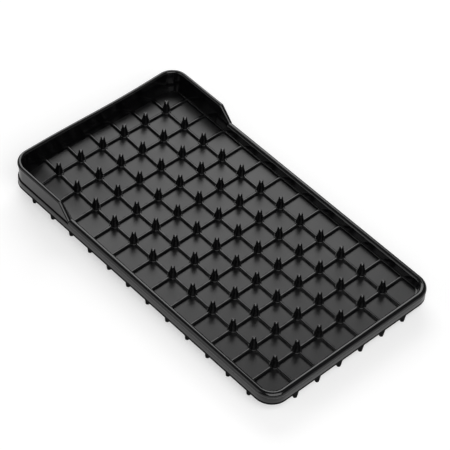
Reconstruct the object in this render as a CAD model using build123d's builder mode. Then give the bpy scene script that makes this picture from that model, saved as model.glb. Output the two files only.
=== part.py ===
from build123d import *
from math import asin, atan2, degrees, radians, tan
import os

os.makedirs("parts", exist_ok=True)

# Plug grid
pitch = 38.0
columns = 6
rows = 12
side_margin = 38.0
front_margin = 34.2
back_margin = 30.4

# Floor plate and the low ribs on it
floor_thickness = 2.6
rib_height = 3.2
rib_width = 4.6
rib_top_width = 2.6
ledge_width = 2.0
corner_radius = 14.5

# Spikes and legs are many and small, so their round sections have this many flat sides
round_sides = 8

# Spikes, their radii being those to the middle of a flat side
spike_height = 21.0
spike_root_radius = 4.2
spike_waist_radius = 2.9
spike_waist_height = 10.0
spike_tip_radius = 2.2
collar_radius = 5.6
gusset_width = 1.6
gusset_height = 8.2
gusset_reach = 5.5
tip_slot_width = 1.9
tip_slot_depth = 3.4

# Base band that closes the tray all the way round
band_width = 11.3
band_height = 8.6
groove_depth = 0.8

# Low bead along the front and the front part of both sides
bead_radius = 4.2
bead_centre_height = 9.5
bead_overhang = 0.4

# Raised wall round the back
wall_height = 33.7
wall_bead_radius = 3.15
slope_top_distance = 60.0
slope_angle = 46.0

# Legs
leg_length = 18.7
leg_root_radius = 5.0
leg_tip_radius = 1.9
side_leg_offset = 3.0
end_leg_offset = 5.5

# Levels above the ground
underside = leg_length
floor_top = underside + floor_thickness
rib_top = floor_top + rib_height
band_top = floor_top + band_height
bead_level = floor_top + bead_centre_height
bead_top = bead_level + bead_radius
wall_top = floor_top + wall_height

# Half sizes of the floor, and the straight part of each side
half_width = (columns - 1) * pitch / 2 + side_margin
half_length = ((rows - 1) * pitch + front_margin + back_margin) / 2
straight_x = half_width - corner_radius
straight_y = half_length - corner_radius
column_x = [(number - (columns - 1) / 2) * pitch for number in range(columns)]
row_y = [number * pitch + front_margin - half_length for number in range(rows)]

# The side walls slope down to the low bead over this stretch
slope_top_y = row_y[-1] - slope_top_distance
slope_bottom_y = slope_top_y - (wall_top - bead_top) / tan(radians(slope_angle))

# Turns a regular section so that a flat side faces each way along and across the tray
side_turn = 180 / round_sides

UP = Vector(0, 0, 1)
RIGHT = Vector(1, 0, 0)
BACK = Vector(0, 1, 0)


def write(piece, name):
    """Label a finished piece and write its file."""
    piece.part.label = name
    export_step(piece.part, f"parts/{name}.step")


def write_pair(piece, name):
    """Write a piece of the left side and its twin on the right."""
    write(piece, f"{name}_left")
    with BuildPart() as twin:
        mirror(piece.part, about=Plane.YZ)
    write(twin, f"{name}_right")


def section_plane(x, y, outward):
    """Upright plane at ground level, with its x axis pointing out of the tray."""
    return Plane(origin=(x, y, 0), x_dir=outward, z_dir=outward.cross(UP))


def rib_outline():
    """Section of a rib, standing on the plane's origin."""
    with BuildLine() as outline:
        Polyline(
            (-rib_width / 2, 0),
            (-rib_top_width / 2, rib_height),
            (rib_top_width / 2, rib_height),
            (rib_width / 2, 0),
            close=True,
        )
    return outline.edges()


def band_outline(foot):
    """Section of the base band, foot being how far out the foot of the walls stands.

    Its top slopes up from the foot of the walls to the groove on the outside.
    """
    with BuildLine() as outline:
        Polyline(
            (foot, underside),
            (foot, rib_top),
            (foot + band_width - groove_depth, band_top),
            (foot + band_width, band_top - groove_depth),
            (foot + band_width, underside),
            close=True,
        )
    return outline.edges()


def crowned_outline(foot, top, radius, *outside):
    """Section of what stands on the band: a straight lean from the foot up into a round bead.

    The points up the outside lead from the groove to the bead.
    """
    centre = Vector(foot + band_width + bead_overhang - radius, top - radius)
    rise = centre - Vector(foot, rib_top)
    lean_angle = degrees(atan2(rise.Y, rise.X) + asin(radius / rise.length))
    with BuildLine() as outline:
        crown = CenterArc(centre, radius, 0, lean_angle + 90)
        Polyline(
            crown @ 1,
            (foot, rib_top),
            (foot + band_width - groove_depth, band_top),
            *outside,
            crown @ 0,
        )
    return outline.edges()


def bead_outline(foot):
    """Section of the low bead: a half round on the band, over a groove on its outer side."""
    return crowned_outline(foot, bead_top, bead_radius)


def wall_outline(foot, top):
    """Section of the raised wall: a leaning plate with a round bead along its top."""
    return crowned_outline(
        foot,
        top,
        wall_bead_radius,
        (foot + band_width, band_top + groove_depth),
        (foot + band_width, top - wall_bead_radius - bead_overhang),
    )


# Floor plate
with BuildPart() as floor_plate:
    with BuildSketch(Plane.XY.offset(underside)):
        RectangleRounded(2 * half_width, 2 * half_length, corner_radius)
    extrude(amount=floor_thickness)
write(floor_plate, "floor_plate")

# Ribs along the tray, in lengths from the front ledge to the back wall
long_stops = [-half_length + ledge_width, *row_y, half_length]
with BuildPart() as long_ribs:
    for near, far in zip(long_stops, long_stops[1:]):
        start = near + (collar_radius if near in row_y else 0)
        end = far - (collar_radius if far in row_y else 0)
        with BuildSketch(Plane(origin=(0, start, floor_top), x_dir=-RIGHT, z_dir=BACK)):
            with Locations(*[(x, 0) for x in column_x]):
                add(make_face(rib_outline(), mode=Mode.PRIVATE))
        extrude(amount=end - start)
write(long_ribs, "long_ribs")

# Ribs across the tray, in lengths from ledge to ledge
cross_stops = [-half_width + ledge_width, *column_x, half_width - ledge_width]
with BuildPart() as cross_ribs:
    for near, far in zip(cross_stops, cross_stops[1:]):
        start = near + (collar_radius if near in column_x else 0)
        end = far - (collar_radius if far in column_x else 0)
        with BuildSketch(Plane(origin=(start, 0, floor_top), x_dir=BACK, z_dir=RIGHT)):
            with Locations(*[(y, 0) for y in row_y]):
                add(make_face(rib_outline(), mode=Mode.PRIVATE))
        extrude(amount=end - start)
write(cross_ribs, "cross_ribs")

# Ledges along the foot of the side walls, ending at the back corners
with BuildPart() as ledge:
    with BuildSketch(Plane.XY.offset(floor_top)):
        with Locations((-half_width, 0)):
            Rectangle(ledge_width, 2 * straight_y, align=(Align.MIN, Align.CENTER))
    extrude(amount=rib_height)
write_pair(ledge, "ledge")

# Ledge along the foot of the front wall
with BuildPart() as ledge_front:
    with BuildSketch(Plane.XY.offset(floor_top)):
        with Locations((0, -half_length)):
            Rectangle(2 * straight_x, ledge_width, align=(Align.CENTER, Align.MIN))
    extrude(amount=rib_height)
write(ledge_front, "ledge_front")

# Ledges round the front corners
with BuildPart() as ledge_corner:
    with BuildSketch(Plane.XY.offset(floor_top)):
        with Locations((-straight_x, -straight_y)):
            Circle(corner_radius)
            Circle(corner_radius - ledge_width, mode=Mode.SUBTRACT)
            Rectangle(corner_radius, corner_radius, align=Align.MAX, mode=Mode.INTERSECT)
    extrude(amount=rib_height)
write_pair(ledge_corner, "ledge_corner_front")

# One spike: a collar that the ribs run into, a slim flared cone, four diagonal gussets that
# run up into its flank, and a slot across the tip
spike_top = floor_top + spike_height
gusset_top = rib_top + gusset_height
flank = (
    (spike_root_radius, rib_top),
    (spike_waist_radius, floor_top + spike_waist_height),
    (spike_tip_radius, spike_top),
)
with BuildPart() as spike:
    with BuildSketch(Plane.XY.offset(floor_top)):
        RegularPolygon(collar_radius, round_sides, major_radius=False, rotation=side_turn)
    extrude(amount=rib_height)
    for (radius, level), (end_radius, end_level) in zip(flank, flank[1:]):
        with BuildSketch(Plane.XY.offset(level)):
            RegularPolygon(radius, round_sides, major_radius=False, rotation=side_turn)
        extrude(amount=end_level - level, taper=degrees(atan2(radius - end_radius, end_level - level)))
    for diagonal in (RIGHT + BACK, RIGHT - BACK):
        with BuildSketch(section_plane(0, 0, diagonal.normalized())):
            Polygon(
                (-gusset_reach, rib_top),
                (gusset_reach, rib_top),
                (spike_tip_radius, gusset_top),
                (-spike_tip_radius, gusset_top),
                align=None,
            )
        extrude(amount=gusset_width / 2, both=True)
    with BuildSketch(Plane.XY.offset(spike_top)):
        Rectangle(tip_slot_width, 2 * spike_root_radius)
    extrude(amount=-tip_slot_depth, mode=Mode.SUBTRACT)

# Spikes, one node for each column, numbered from the left
for number, x in enumerate(column_x, start=1):
    with BuildPart() as spike_column:
        with Locations(*[(x, y, 0) for y in row_y]):
            add(spike.part)
    write(spike_column, f"spikes_{number}")

# Base band along the sides
with BuildPart() as band_side:
    with BuildSketch(section_plane(-half_width, -straight_y, -RIGHT)):
        make_face(band_outline(0))
    extrude(amount=2 * straight_y)
write_pair(band_side, "band")

# Base band along the front and the back
for name, outward in (("front", -BACK), ("back", BACK)):
    with BuildPart() as band_end:
        with BuildSketch(section_plane(-outward.Y * straight_x, outward.Y * half_length, outward)):
            make_face(band_outline(0))
        extrude(amount=2 * straight_x)
    write(band_end, f"band_{name}")

# Base band round the corners
for name, outward in (("front", -BACK), ("back", BACK)):
    y = outward.Y * straight_y
    with BuildPart() as band_corner:
        with BuildSketch(section_plane(-straight_x, y, -RIGHT)):
            make_face(band_outline(corner_radius))
        revolve(axis=Axis((-straight_x, y, 0), UP * -outward.Y), revolution_arc=90)
    write_pair(band_corner, f"band_corner_{name}")

# Low bead along the front part of the sides
with BuildPart() as bead_side:
    with BuildSketch(section_plane(-half_width, -straight_y, -RIGHT)):
        make_face(bead_outline(0))
    extrude(amount=slope_bottom_y + straight_y)
write_pair(bead_side, "bead")

# Low bead along the front
with BuildPart() as bead_front:
    with BuildSketch(section_plane(straight_x, -half_length, -BACK)):
        make_face(bead_outline(0))
    extrude(amount=2 * straight_x)
write(bead_front, "bead_front")

# Low bead round the front corners
with BuildPart() as bead_corner:
    with BuildSketch(section_plane(-straight_x, -straight_y, -RIGHT)):
        make_face(bead_outline(corner_radius))
    revolve(axis=Axis((-straight_x, -straight_y, 0), UP), revolution_arc=90)
write_pair(bead_corner, "bead_corner_front")

# Raised wall along the back part of the sides
with BuildPart() as wall_side:
    with BuildSketch(section_plane(-half_width, slope_top_y, -RIGHT)):
        make_face(wall_outline(0, wall_top))
    extrude(amount=straight_y - slope_top_y)
write_pair(wall_side, "wall")

# Raised wall along the back
with BuildPart() as wall_back:
    with BuildSketch(section_plane(-straight_x, half_length, BACK)):
        make_face(wall_outline(0, wall_top))
    extrude(amount=2 * straight_x)
write(wall_back, "wall_back")

# Raised wall round the back corners
with BuildPart() as wall_corner:
    with BuildSketch(section_plane(-straight_x, straight_y, -RIGHT)):
        make_face(wall_outline(corner_radius, wall_top))
    revolve(axis=Axis((-straight_x, straight_y, 0), -UP), revolution_arc=90)
write_pair(wall_corner, "wall_corner_back")

# Sloping end of the side walls, its bead running down to the height of the low bead
with BuildPart() as wall_slope:
    with BuildSketch(section_plane(-half_width, slope_bottom_y, -RIGHT)):
        make_face(wall_outline(0, bead_top))
    with BuildSketch(section_plane(-half_width, slope_top_y, -RIGHT)):
        make_face(wall_outline(0, wall_top))
    loft(ruled=True)
write_pair(wall_slope, "wall_slope")

# One leg, tapering down to a small flat foot
with BuildPart() as leg:
    with BuildSketch(Plane(origin=(0, 0, underside), x_dir=RIGHT, z_dir=-UP)):
        RegularPolygon(leg_root_radius, round_sides, major_radius=False, rotation=side_turn)
    extrude(amount=underside, taper=degrees(atan2(leg_root_radius - leg_tip_radius, underside)))

# Legs along the sides, one to each row of spikes
leg_x = half_width + side_leg_offset
leg_y = half_length + end_leg_offset
with BuildPart() as legs_side:
    with Locations(*[(-leg_x, y, 0) for y in row_y]):
        add(leg.part)
write_pair(legs_side, "legs")

# Legs along the front and the back, one to each column of spikes
for name, y in (("front", -leg_y), ("back", leg_y)):
    with BuildPart() as legs_end:
        with Locations(*[(x, y, 0) for x in column_x]):
            add(leg.part)
    write(legs_end, f"legs_{name}")
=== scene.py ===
from math import asin, atan2, cos, hypot, pi, radians, sin, tan

import bmesh
import bpy
from mathutils import Matrix, Vector


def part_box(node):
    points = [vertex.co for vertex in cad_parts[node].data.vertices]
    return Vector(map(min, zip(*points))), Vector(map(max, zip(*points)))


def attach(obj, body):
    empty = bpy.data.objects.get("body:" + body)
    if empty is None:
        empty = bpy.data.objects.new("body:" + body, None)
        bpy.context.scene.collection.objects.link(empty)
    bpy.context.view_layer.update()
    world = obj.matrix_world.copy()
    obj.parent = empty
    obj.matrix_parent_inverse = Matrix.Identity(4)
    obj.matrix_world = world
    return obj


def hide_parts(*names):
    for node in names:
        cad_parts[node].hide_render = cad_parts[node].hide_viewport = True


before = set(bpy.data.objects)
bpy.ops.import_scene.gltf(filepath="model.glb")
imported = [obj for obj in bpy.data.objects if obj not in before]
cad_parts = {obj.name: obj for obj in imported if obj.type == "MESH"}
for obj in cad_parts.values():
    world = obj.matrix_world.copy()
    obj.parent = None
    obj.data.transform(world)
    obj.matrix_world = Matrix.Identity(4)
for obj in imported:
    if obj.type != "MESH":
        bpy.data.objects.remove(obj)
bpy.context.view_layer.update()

# Floor plate ---------------------------------------------------------------
# A thin plate of black thermoplastic rubber, injection moulded in one shot with everything
# else on the tray. It is soft, and has curled up a little by the back wall.
MM = 0.001
plate_low, plate_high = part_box("floor_plate")
half_width = plate_high.x
half_length = plate_high.y
underside = plate_low.z
floor_top = plate_high.z


def linear(hex_colour):
    """An sRGB hex colour as linear RGBA."""
    channels = [int(hex_colour[i:i + 2], 16) / 255 for i in (1, 3, 5)]
    return [c / 12.92 if c <= 0.04045 else ((c + 0.055) / 1.055) ** 2.4 for c in channels] + [1.0]


def add_node(tree, kind, settings=None, **inputs):
    """Add a node with its settings, its socket values and its incoming links."""
    node = tree.nodes.new(kind)
    for name, value in (settings or {}).items():
        setattr(node, name, value)
    for name, value in inputs.items():
        socket = node.inputs[name.replace("_", " ")]
        if isinstance(value, bpy.types.NodeSocket):
            tree.links.new(value, socket)
        else:
            socket.default_value = value
    return node


# Thermoplastic rubber is black all through, with an IOR of about 1.5. The way it flowed in
# the mould varies its shine a little. The grain of its skin is too fine to see, so it is
# drawn at 1.2 mm, where it only just breaks up the shine.
def moulded_rubber(name, roughness, specular=0.5):
    """Black rubber with the shine that the finish of the mould gives it."""
    grain_mm = 1.2
    grain_height = 0.1 * MM
    flow_mm = 60.0
    noise_low = 0.3
    noise_high = 0.7
    shinier = 0.03
    duller = 0.04
    material = bpy.data.materials.new(name)
    material.use_nodes = True
    tree = material.node_tree
    shader = tree.nodes["Principled BSDF"]
    shader.inputs["Base Color"].default_value = linear("#060607")
    shader.inputs["IOR"].default_value = 1.52
    shader.inputs["Specular IOR Level"].default_value = specular
    place = add_node(tree, "ShaderNodeTexCoord").outputs["Object"]
    flow = add_node(tree, "ShaderNodeTexNoise", Vector=place, Scale=1000 / flow_mm, Detail=3.0)
    sheen = add_node(
        tree, "ShaderNodeMapRange", Value=flow.outputs["Fac"], From_Min=noise_low,
        From_Max=noise_high, To_Min=roughness - shinier, To_Max=roughness + duller,
    )
    tree.links.new(sheen.outputs["Result"], shader.inputs["Roughness"])
    grain = add_node(tree, "ShaderNodeTexNoise", Vector=place, Scale=1000 / grain_mm, Detail=2.0)
    bump = add_node(
        tree, "ShaderNodeBump", Height=grain.outputs["Fac"], Strength=0.1, Distance=grain_height,
    )
    tree.links.new(bump.outputs["Normal"], shader.inputs["Normal"])
    return material


def outward_mesh(name, vertices, faces):
    """A mesh whose faces all look outwards."""
    mesh = bpy.data.meshes.new(name)
    mesh.from_pydata(vertices, [], faces)
    builder = bmesh.new()
    builder.from_mesh(mesh)
    bmesh.ops.recalc_face_normals(builder, faces=builder.faces)
    builder.to_mesh(mesh)
    builder.free()
    return mesh


def add_piece(name, vertices, faces, material):
    """A finished piece of the tray: smooth shaded, with its sharper edges left hard."""
    hard_edge = radians(35)
    mesh = outward_mesh(name, vertices, faces)
    mesh.shade_smooth()
    mesh.set_sharp_from_angle(angle=hard_edge)
    mesh.materials.append(material)
    piece = bpy.data.objects.new(name, mesh)
    bpy.context.scene.collection.objects.link(piece)
    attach(piece, "root")
    return piece


def sweep(sections, closed=False):
    """Vertices and faces of a skin through equal rings of points, capped unless closed."""
    size = len(sections[0])
    count = len(sections)
    vertices = [point for section in sections for point in section]
    faces = []
    for number in range(count if closed else count - 1):
        here = number * size
        beyond = (number + 1) % count * size
        for i in range(size):
            j = (i + 1) % size
            faces.append((here + i, here + j, beyond + j, beyond + i))
    if not closed:
        faces.append(tuple(range(size)))
        faces.append(tuple((count - 1) * size + i for i in range(size)))
    return vertices, faces


column_count = 6
row_count = 12
spike_low, spike_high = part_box("spikes_1")
collar_width = spike_high.x - spike_low.x
first_column = (spike_low.x + spike_high.x) / 2
last_column = (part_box("spikes_6")[0].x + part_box("spikes_6")[1].x) / 2
pitch = (last_column - first_column) / (column_count - 1)
front_row = spike_low.y + collar_width / 2
rows = [front_row + j * pitch for j in range(row_count)]
band_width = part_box("band_left")[1].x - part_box("band_left")[0].x
corner_radius = (
    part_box("band_corner_front_left")[1].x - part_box("band_corner_front_left")[0].x - band_width
)
straight_x = half_width - corner_radius
straight_y = half_length - corner_radius

# The curl starts at the fourth row of spikes from the back, rises 1.2 mm in the next pitch
# and then ever faster. It is weaker at the left wall and fades towards the right.
curl_start = rows[-4]
curl_rise = 1.2 * MM
curl_growth = 1.5
share_at_left = 0.4
left_width = 0.9 * pitch
loss_on_right = 0.7
right_start = -0.8 * pitch
right_width = 4 * pitch


def eased(share):
    """Smooth step from 0 to 1."""
    share = min(1.0, max(0.0, share))
    return share * share * (3 - 2 * share)


def lift(x, y):
    """How far the curl has carried up a place on the plate."""
    behind = max(0.0, (y - curl_start) / pitch)
    left_part = share_at_left + (1 - share_at_left) * eased((x + half_width) / left_width)
    right_part = 1 - loss_on_right * eased((x - right_start) / right_width)
    return curl_rise * behind ** curl_growth * left_part * right_part


def curled(vertices):
    """Points of the flat tray, carried up by the curl of its plate."""
    return [(x, y, z + lift(x, y)) for x, y, z in vertices]


# The plate runs in a little under the walls, and its lower face stays clear of theirs.
tuck = 3 * MM
plate_bottom = underside + 0.5 * MM
steps_along = 120
steps_across = 60
rings = []
for i in range(steps_along + 1):
    y = (half_length + tuck) * (2 * i / steps_along - 1)
    round_off = max(0.0, abs(y) - straight_y)
    reach = straight_x + (max(0.0, (corner_radius + tuck) ** 2 - round_off ** 2)) ** 0.5
    across = [reach * (2 * j / steps_across - 1) for j in range(steps_across + 1)]
    upper = [(x, y, floor_top) for x in across]
    lower = [(x, y, plate_bottom) for x in reversed(across)]
    rings.append(upper + lower)

# Moulded against bare ground steel, so the plate has a soft, satin shine.
satin_rubber = moulded_rubber("satin_moulded_rubber", 0.31)
vertices, faces = sweep(rings)
plate = add_piece("curled_plate", curled(vertices), faces, satin_rubber)
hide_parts("floor_plate")

# Ribs ----------------------------------------------------------------------
# Low round-topped ribs of the same rubber, moulded on the plate in a square grid. They
# hold the plugs clear of the plate, and a spike stands wherever two of them cross.
columns = [first_column + i * pitch for i in range(column_count)]
rib_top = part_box("cross_ribs")[1].z
ledge_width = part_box("ledge_front")[1].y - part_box("ledge_front")[0].y
rib_height = rib_top - floor_top
rib_width = 4.4 * MM
shoulder_reach = 1.9 * MM
shoulder_height = rib_height * 0.8
shoulder_round = 0.7 * MM
crown_reach = shoulder_reach * 0.5
crown_round = 2.4 * MM
foot_fillet = 0.5 * MM
foot_height = foot_fillet * 0.2
rib_steps = 48


def rounded(corners):
    """Outline through (along, up, radius) corners, each turned into an arc of its radius."""
    arc_steps = 4
    outline = []
    for i, (x, z, radius) in enumerate(corners):
        if radius == 0:
            outline.append((x, z))
            continue
        here = Vector((x, z))
        before = (Vector(corners[i - 1][:2]) - here).normalized()
        after = (Vector(corners[(i + 1) % len(corners)][:2]) - here).normalized()
        half = before.angle(after) / 2
        centre = here + (before + after).normalized() * radius / sin(half)
        start = (here + before * radius / tan(half) - centre).normalized()
        finish = (here + after * radius / tan(half) - centre).normalized()
        for step in range(arc_steps + 1):
            outline.append(tuple(centre + start.slerp(finish, step / arc_steps) * radius))
    return outline


def append_skin(vertices, faces, more_vertices, more_faces):
    """Add another skin to the end of a list of vertices and a list of faces."""
    faces += [tuple(i + len(vertices) for i in face) for face in more_faces]
    vertices += more_vertices


# A softly crowned top on nearly upright sides, with a small fillet at the plate.
right_half = [
    (crown_reach, rib_height, crown_round),
    (shoulder_reach, shoulder_height, shoulder_round),
    (rib_width / 2, foot_height, foot_fillet),
    (rib_width / 2 + foot_fillet, 0, 0),
]
left_half = [(-out, up, radius) for out, up, radius in reversed(right_half)]
rib_section = rounded(left_half + right_half)

# Moulded in polished grooves, so the crowns catch the light as thin bright lines.
polished_rubber = moulded_rubber("polished_moulded_rubber", 0.12)
spans = [((x, -half_length + ledge_width), (x, half_length + tuck)) for x in columns]
spans += [((-half_width + ledge_width, y), (half_width - ledge_width, y)) for y in rows]
vertices, faces = [], []
for start, finish in spans:
    along = Vector(finish) - Vector(start)
    side = Vector((along.y, -along.x)).normalized()
    stations = [Vector(start) + along * i / rib_steps for i in range(rib_steps + 1)]
    append_skin(vertices, faces, *sweep([
        [(station.x + side.x * s, station.y + side.y * s, floor_top + z) for s, z in rib_section]
        for station in stations
    ]))
ribs = add_piece("grid_ribs", curled(vertices), faces, polished_rubber)
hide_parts("long_ribs", "cross_ribs")

# Base band -----------------------------------------------------------------
# The solid rubber band that closes the tray all round. Its outside stands upright, with a
# soft lower edge, and a fine moulded groove parts it from the bead or wall on top of it.
band_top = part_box("band_left")[1].z
groove = 1.2 * MM
skirt_top = band_top - 1.8 * MM
inner_round = 0.3 * MM
groove_round = 0.2 * MM
shoulder_edge = 0.4 * MM
lower_edge = 0.5 * MM
corner_turns = 14
straight_step = 12 * MM

# Places (x, y, out_x, out_y) along the foot of the walls, anticlockwise from where the back
# right corner starts. Each has the level direction that points out of the tray there.
foot_line = []
for quarter, (centre_x, centre_y, run) in enumerate((
    (straight_x, straight_y, 2 * straight_x),
    (-straight_x, straight_y, 2 * straight_y),
    (-straight_x, -straight_y, 2 * straight_x),
    (straight_x, -straight_y, 2 * straight_y),
)):
    for turn in range(corner_turns + 1):
        angle = (quarter + turn / corner_turns) * pi / 2
        out_x, out_y = cos(angle), sin(angle)
        x, y = centre_x + corner_radius * out_x, centre_y + corner_radius * out_y
        foot_line.append((x, y, out_x, out_y))
    count = int(run / straight_step)
    for i in range(1, count):
        gone = run * i / count
        foot_line.append((x - out_y * gone, y + out_x * gone, out_x, out_y))


def ring(place, section):
    """A section's points (out, up) set upright at a place on the walls' foot."""
    x, y, out_x, out_y = place
    return [(x + out_x * out, y + out_y * out, up) for out, up in section]


band_section = rounded([
    (0, underside, inner_round),
    (0, rib_top, 0),
    (band_width - groove, skirt_top, groove_round),
    (band_width, skirt_top - 0.5 * groove, shoulder_edge),
    (band_width, underside, lower_edge),
])
vertices, faces = sweep([ring(place, band_section) for place in foot_line], closed=True)
band = add_piece("base_band", vertices, faces, polished_rubber)
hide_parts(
    "band_left", "band_right", "band_front", "band_back", "band_corner_front_left",
    "band_corner_front_right", "band_corner_back_left", "band_corner_back_right",
)

# Painted shade edge --------------------------------------------------------
# The lower edge of the rubber band, drawn as a dark matt strip that stands a hair proud of the
# band. It is painted shade: the dark line where the band's lower edge reflects the shaded paper.
edge_inner = band_width - 3 * MM
edge_outer = band_width + 0.1 * MM
edge_top = underside + MM
edge_bottom = underside - 2.4 * MM
upper_round = 0.1 * MM
lower_round = 0.3 * MM

# Matt and dark, so this edge and the legs are painted shade for the shaded paper they reflect.
painted_shade_rubber = moulded_rubber("painted_shade_moulded_rubber", 0.9, specular=0.15)
edge_section = rounded([
    (edge_inner, edge_top, 0),
    (edge_outer, edge_top, upper_round),
    (edge_outer, edge_bottom, lower_round),
    (edge_inner, edge_bottom, 0),
])
vertices, faces = sweep([ring(place, edge_section) for place in foot_line], closed=True)
add_piece("painted_shade_edge", vertices, faces, painted_shade_rubber)

# Low bead ------------------------------------------------------------------
# A fat half-round bead of the same rubber, moulded along the top of the band round the
# front and the front part of both sides. It stops where the side walls start to rise.
bead_low, bead_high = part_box("bead_left")
bead_top = bead_high.z
slope_bottom_y = bead_high.y
bead_outer = -half_width - bead_low.x
bead_radius = 5.0 * MM
bead_under = radians(27)
bead_steps = 24
behind_groove = band_width - 2.2 * groove
nearest = 1 * MM


def crowned(top, radius, under, *outside):
    """Section from the walls' foot up to a round bead, which turns in under its outside."""
    across = bead_outer - radius
    level = top - radius
    lean = atan2(level - rib_top, across) + asin(radius / hypot(across, level - rib_top))
    turns = [(lean + pi / 2 + under) * i / bead_steps - under for i in range(bead_steps + 1)]
    crown = [(across + radius * cos(turn), level + radius * sin(turn)) for turn in turns]
    return crown + [(0, rib_top), (behind_groove, skirt_top), *outside]


def foot_line_to(y_limit, front):
    """The foot line in front of a line across the tray, or behind it, with ends on it."""
    if front:
        kept = [place for place in foot_line if place[1] < y_limit - nearest]
    else:
        kept = [place for place in foot_line if place[1] > y_limit + nearest]
    steps = [hypot(b[0] - a[0], b[1] - a[1]) for a, b in zip(kept, kept[1:])]
    jump = next((i for i, step in enumerate(steps, start=1) if step > 2 * straight_step), 0)
    kept = kept[jump:] + kept[:jump]
    first = (kept[0][0], y_limit) + kept[0][2:]
    last = (kept[-1][0], y_limit) + kept[-1][2:]
    return [first] + kept + [last]


bead_section = crowned(bead_top, bead_radius, bead_under)
bead_places = foot_line_to(slope_bottom_y, front=True)
vertices, faces = sweep([ring(place, bead_section) for place in bead_places])
bead = add_piece("low_bead", vertices, faces, polished_rubber)
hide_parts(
    "bead_left", "bead_right", "bead_front", "bead_corner_front_left",
    "bead_corner_front_right",
)

# Raised wall ---------------------------------------------------------------
# The rubber wall that rises round the back and part of both sides, moulded with a slimmer
# bead along its top, which runs down a slope at each end to the low bead. At the back the
# soft wall leans in: most at its crest, and at its foot where the plate has curled.
wall_low, wall_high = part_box("wall_left")
wall_top = wall_high.z
slope_top_y = wall_low.y
wall_bead_radius = 3.15 * MM
wall_under = radians(55)
wall_inset = 1.4 * MM
crest_sag = 3.0 * MM
sag_middle = 50 * MM
sag_reach = straight_x + 20 * MM
foot_pull = 0.7


def wall_section(top):
    """Leaning plate up to a bead, with the top of the bead at a height."""
    groove_edge = (band_width - wall_inset, skirt_top + groove)
    return crowned(top, wall_bead_radius, wall_under, groove_edge)


def top_at(y):
    """Height of the wall's top: level at the back, sloping down at the ends."""
    share = (y - slope_bottom_y) / (slope_top_y - slope_bottom_y)
    return bead_top + (wall_top - bead_top) * min(1.0, max(0.0, share))


def bowed_in(x, y, z):
    """How far a point of the wall leans in."""
    at_foot = z < rib_top + 0.1 * MM
    if at_foot:
        round_corner = max(0.0, (y - straight_y) / corner_radius)
        return foot_pull * lift(x, half_length) * round_corner ** 2
    if y <= half_length:
        return 0.0
    along = max(0.0, 1 - abs(x - sag_middle) / sag_reach)
    height = max(0.0, (z - band_top) / (wall_top - band_top))
    return crest_sag * height * sin(along * pi / 2) ** 2


wall_places = [(half_width, slope_bottom_y, 1.0, 0.0)]
wall_places += foot_line_to(slope_top_y, front=False)
wall_places += [(-half_width, slope_bottom_y, -1.0, 0.0)]
vertices, faces = sweep([ring(place, wall_section(top_at(place[1]))) for place in wall_places])
vertices = [(x, y - bowed_in(x, y, z), z) for x, y, z in vertices]
wall = add_piece("raised_wall", vertices, faces, polished_rubber)
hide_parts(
    "wall_left", "wall_right", "wall_back", "wall_corner_back_left",
    "wall_corner_back_right", "wall_slope_left", "wall_slope_right",
)

# Spikes --------------------------------------------------------------------
# Slim tapered rubber spikes on round collars, moulded where the ribs cross. Each has four
# gussets on the diagonals, and a slot across its tip that leaves two soft prongs.
spike_top = spike_high.z
spike_root = 5.0 * MM
spike_tip = 2.6 * MM
spike_taper = 1.1
spike_levels = (0, 0.08, 0.17, 0.27, 0.38, 0.5, 0.65, 0.8)
spike_sides = 40
tip_round = 0.7 * MM
collar_radius = 6.8 * MM
collar_round = 0.6 * MM
slot_width = 1.7 * MM
slot_depth = 3.4 * MM
slot_flare = 0.4 * MM
slot_corner = slot_width * 0.2
slot_end = 2 * spike_root
clear_of_tip = spike_top + MM
gusset_width = 1.6 * MM
gusset_top = rib_top + 14.0 * MM
gusset_bottom = rib_top - 0.2 * MM
gusset_reach = 6.3 * MM


def lathe(profile, sides):
    """Skin of a turned shape from (radius, height) points, closed at both ends."""
    turns = [2 * pi * i / sides for i in range(sides)]
    return sweep([[(r * cos(turn), r * sin(turn), z) for turn in turns] for r, z in profile])


def rounded_over(radius, top, bend):
    """Profile points of a turned edge that bends over from upright to level."""
    turns = [radians(degrees) for degrees in (0, 30, 60, 90)]
    return [(radius - bend * (1 - cos(turn)), top - bend * (1 - sin(turn))) for turn in turns]


def scratch(name, vertices, faces):
    """A shape that is only used up in making another."""
    shape = bpy.data.objects.new(name, outward_mesh(name, vertices, faces))
    bpy.context.scene.collection.objects.link(shape)
    return shape


def copies(shape, places):
    """Vertices and faces of one shape, set down at each of the (x, y, z) places."""
    vertices, faces = [], []
    for x, y, z in places:
        append_skin(vertices, faces, [(x + v[0], y + v[1], z + v[2]) for v in shape[0]], shape[1])
    return vertices, faces


# Nearly a straight cone above the collar, but a taper over 1 flares it a little at its root.
profile = [(collar_radius, floor_top)]
profile += rounded_over(collar_radius, rib_top, collar_round)
profile += [
    (spike_tip + (spike_root - spike_tip) * (1 - share) ** spike_taper,
     rib_top + (spike_top - rib_top) * share)
    for share in spike_levels
]
profile += rounded_over(spike_tip, spike_top, tip_round)
body = scratch("spike_body", *lathe(profile, spike_sides))

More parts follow.
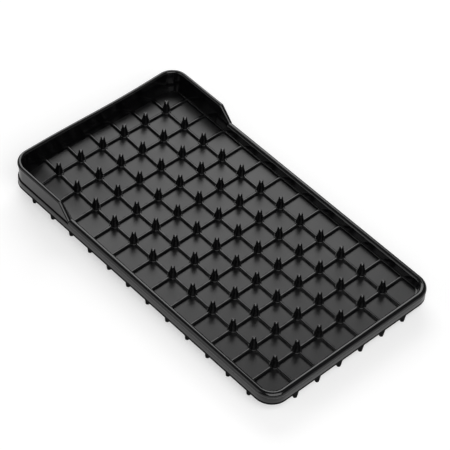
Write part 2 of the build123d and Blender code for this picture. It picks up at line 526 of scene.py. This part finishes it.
# The slot is drawn along the tray and turned by an eighth of a turn, onto one diagonal.
slant = cos(pi / 4)
slot_section = rounded([
    (-slot_width / 2, spike_top - slot_depth, slot_corner),
    (slot_width / 2, spike_top - slot_depth, slot_corner),
    (slot_width / 2 + slot_flare, clear_of_tip, 0),
    (-slot_width / 2 - slot_flare, clear_of_tip, 0),
])
cutter = scratch("slot_cutter", *sweep([
    [((x + y) * slant, (y - x) * slant, z) for x, z in slot_section]
    for y in (-slot_end, slot_end)
]))
cut = body.modifiers.new("slot", "BOOLEAN")
cut.object = cutter
cut.operation = "DIFFERENCE"
cut.solver = "EXACT"
soften = body.modifiers.new("soften", "BEVEL")
soften.width = 0.25 * MM
soften.segments = 2
soften.limit_method = "ANGLE"
soften.angle_limit = radians(50)
slotted = bpy.data.meshes.new_from_object(
    body.evaluated_get(bpy.context.evaluated_depsgraph_get())
)
spike_vertices = [tuple(v.co) for v in slotted.vertices]
spike_faces = [tuple(p.vertices) for p in slotted.polygons]
for shape in (body, cutter):
    bpy.data.objects.remove(shape)

gusset_outline = [
    (0, gusset_bottom), (gusset_reach, gusset_bottom), (spike_tip, gusset_top), (0, gusset_top),
]
for heading in (0.25 * pi, 0.75 * pi, 1.25 * pi, 1.75 * pi):
    turned = Matrix.Rotation(heading, 3, "Z")
    append_skin(spike_vertices, spike_faces, *sweep([
        [tuple(turned @ Vector((x, side * gusset_width / 2, z))) for x, z in gusset_outline]
        for side in (-1, 1)
    ]))

for number, x in enumerate(columns, start=1):
    vertices, faces = copies((spike_vertices, spike_faces), [(x, y, lift(x, y)) for y in rows])
    column = add_piece(f"spike_column_{number}", vertices, faces, polished_rubber)
    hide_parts(f"spikes_{number}")

# Foot ledge ----------------------------------------------------------------
# A low rubber step as high as the ribs, moulded along the foot of the front and side
# walls, where the ribs end. It has curled up with the plate.
ledge_round = 0.9 * MM
ledge_overlap = 0.5 * MM
ledge_section = rounded([
    (-ledge_width, floor_top, 0), (-ledge_width, rib_top, ledge_round),
    (ledge_overlap, rib_top, 0), (ledge_overlap, floor_top, 0),
])
ledge_places = foot_line_to(straight_y, front=True)
vertices, faces = sweep([ring(place, ledge_section) for place in ledge_places])
ledge = add_piece("foot_ledge", curled(vertices), faces, polished_rubber)
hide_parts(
    "ledge_left", "ledge_right", "ledge_front", "ledge_corner_front_left",
    "ledge_corner_front_right",
)

# Legs ----------------------------------------------------------------------
# Short tapered rubber pegs below the band, moulded in line with each row and column of
# spikes. They hold the tray off whatever it stands on, on flat tips with a soft edge.
leg_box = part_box("legs_left")
leg_root = (leg_box[1].x - leg_box[0].x) / 2
leg_tip = 2.8 * MM
leg_tip_flare = 0.05 * MM
leg_tip_round = 0.5 * MM
leg_sides = 24
leg_profile = [(leg_root, underside), ((leg_root + leg_tip) / 2, underside / 2)]
leg_profile += [(r, -z) for r, z in rounded_over(leg_tip + leg_tip_flare, 0, leg_tip_round)]
leg = lathe(leg_profile, leg_sides)
for side in ("left", "right", "front", "back"):
    low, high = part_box(f"legs_{side}")
    if side in ("left", "right"):
        places = [((low.x + high.x) / 2, y, 0) for y in rows]
    else:
        places = [(x, (low.y + high.y) / 2, 0) for x in columns]
    vertices, faces = copies(leg, places)
    # Their matt, dark rubber is painted shade for the shaded paper round the legs.
    pegs = add_piece(f"legs_row_{side}", vertices, faces, painted_shade_rubber)
    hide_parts(f"legs_{side}")

# Studio --------------------------------------------------------------------
# The tray stands on white paper that fades to plain white further out. Two large soft
# boxes, behind and in front, give the ribs and spikes their tones, a smaller one and two
# low lamps fill the sides, and the room is so dim that the rubber's black stays deep.
paper_half = 6.0
glow_in_gloss = 0.5
fade_start = 0.8
fade_end = 1.6
sweep_paper = bpy.data.objects.new("white_paper", bpy.data.meshes.new("white_paper"))
bpy.context.scene.collection.objects.link(sweep_paper)
sweep_paper.data.from_pydata(
    [(x * paper_half, y * paper_half, 0) for x, y in ((-1, -1), (1, -1), (1, 1), (-1, 1))],
    [], [(0, 1, 2, 3)],
)

# Matt white paper, lit by the lamps and by a glow of its own that only the camera and,
# at half strength, glossy rubber can see.
paper = bpy.data.materials.new("white_paper")
paper.use_nodes = True
tree = paper.node_tree
tree.nodes.remove(tree.nodes["Principled BSDF"])
rays = add_node(tree, "ShaderNodeLightPath")
seen = add_node(tree, "ShaderNodeMath", {"operation": "MULTIPLY_ADD"})
tree.links.new(rays.outputs["Is Glossy Ray"], seen.inputs[0])
seen.inputs[1].default_value = glow_in_gloss
tree.links.new(rays.outputs["Is Camera Ray"], seen.inputs[2])
matt = add_node(tree, "ShaderNodeBsdfDiffuse", Color=linear("#D8D8D8"))
glow = add_node(
    tree, "ShaderNodeEmission", Color=linear("#B6B6B6"), Strength=seen.outputs["Value"],
)
both = add_node(tree, "ShaderNodeAddShader")
tree.links.new(matt.outputs["BSDF"], both.inputs[0])
tree.links.new(glow.outputs["Emission"], both.inputs[1])
place = add_node(tree, "ShaderNodeTexCoord").outputs["Object"]
away = add_node(tree, "ShaderNodeVectorMath", {"operation": "LENGTH"}, Vector=place)
fade = add_node(
    tree, "ShaderNodeMapRange", Value=away.outputs["Value"],
    From_Min=fade_start, From_Max=fade_end,
)
far = add_node(
    tree, "ShaderNodeEmission", Color=linear("#FFFFFF"), Strength=seen.outputs["Value"],
)
paper_mix = add_node(tree, "ShaderNodeMixShader", Fac=fade.outputs["Result"])
tree.links.new(both.outputs["Shader"], paper_mix.inputs[1])
tree.links.new(far.outputs["Emission"], paper_mix.inputs[2])
tree.links.new(paper_mix.outputs["Shader"], tree.nodes["Material Output"].inputs["Surface"])
sweep_paper.data.materials.append(paper)

# A dim room for the tray, and plain white wherever the camera sees past the paper.
world = bpy.data.worlds.new("studio")
bpy.context.scene.world = world
world.use_nodes = True
tree = world.node_tree
rays = add_node(tree, "ShaderNodeLightPath")
room = tree.nodes["Background"]
room.inputs["Color"].default_value = linear("#FFFFFF")
room.inputs["Strength"].default_value = 0.12
white = add_node(tree, "ShaderNodeBackground", Color=linear("#FFFFFF"), Strength=1.0)
choice = add_node(tree, "ShaderNodeMixShader", Fac=rays.outputs["Is Camera Ray"])
tree.links.new(room.outputs["Background"], choice.inputs[1])
tree.links.new(white.outputs["Background"], choice.inputs[2])
tree.links.new(choice.outputs["Shader"], tree.nodes["World Output"].inputs["Surface"])


def soft_box(name, heading, height, distance, width, tall, radiance):
    """A lamp that faces the tray's middle, placed by degrees clockwise from the back and up."""
    lamp = bpy.data.lights.new(name, "AREA")
    lamp.shape = "RECTANGLE"
    lamp.size = width
    lamp.size_y = tall
    lamp.energy = radiance * pi * width * tall
    holder = bpy.data.objects.new(name, lamp)
    bpy.context.scene.collection.objects.link(holder)
    a, e = radians(heading), radians(height)
    towards = Vector((sin(a) * cos(e), cos(a) * cos(e), sin(e)))
    holder.location = Vector((0, 0, floor_top)) + towards * distance
    holder.rotation_euler = towards.to_track_quat("Z", "Y").to_euler()


soft_box("back_soft_box", heading=36, height=35, distance=1.6, width=1.5, tall=1.15, radiance=2.75)
soft_box("front_soft_box", heading=203, height=46, distance=1.8, width=1.6, tall=1.6, radiance=2.6)
soft_box("left_soft_box", heading=285, height=34, distance=1.8, width=0.9, tall=0.9, radiance=0.8)
soft_box("right_strip", heading=150, height=7, distance=2.0, width=1.6, tall=0.35, radiance=0.9)
soft_box("left_low_fill", heading=-62, height=14, distance=1.6, width=1.3, tall=0.8, radiance=0.75)

# A long lens that looks down on the tray's middle from the front left, held a little askew.
columns_across = 2.96
rows_from_back = 5.396
target = Vector((
    first_column + columns_across * pitch, rows[-1] - rows_from_back * pitch, floor_top,
))
azimuth = radians(45.97)
elevation = radians(47.58)
roll = radians(4.77)
distance = 71.99 * pitch
lens = bpy.data.cameras.new("lens")
lens.lens = 167.06
lens.sensor_width = 36
lens.clip_end = 20
camera = bpy.data.objects.new("camera", lens)
bpy.context.scene.collection.objects.link(camera)
tilt = Matrix.Rotation(pi / 2 - elevation, 4, "X") @ Matrix.Rotation(roll, 4, "Z")
aim = Matrix.Rotation(-azimuth, 4, "Z") @ tilt
camera.matrix_world = Matrix.Translation(target + aim @ Vector((0, 0, distance))) @ aim
bpy.context.scene.camera = camera
bpy.context.scene.view_settings.view_transform = "Standard"
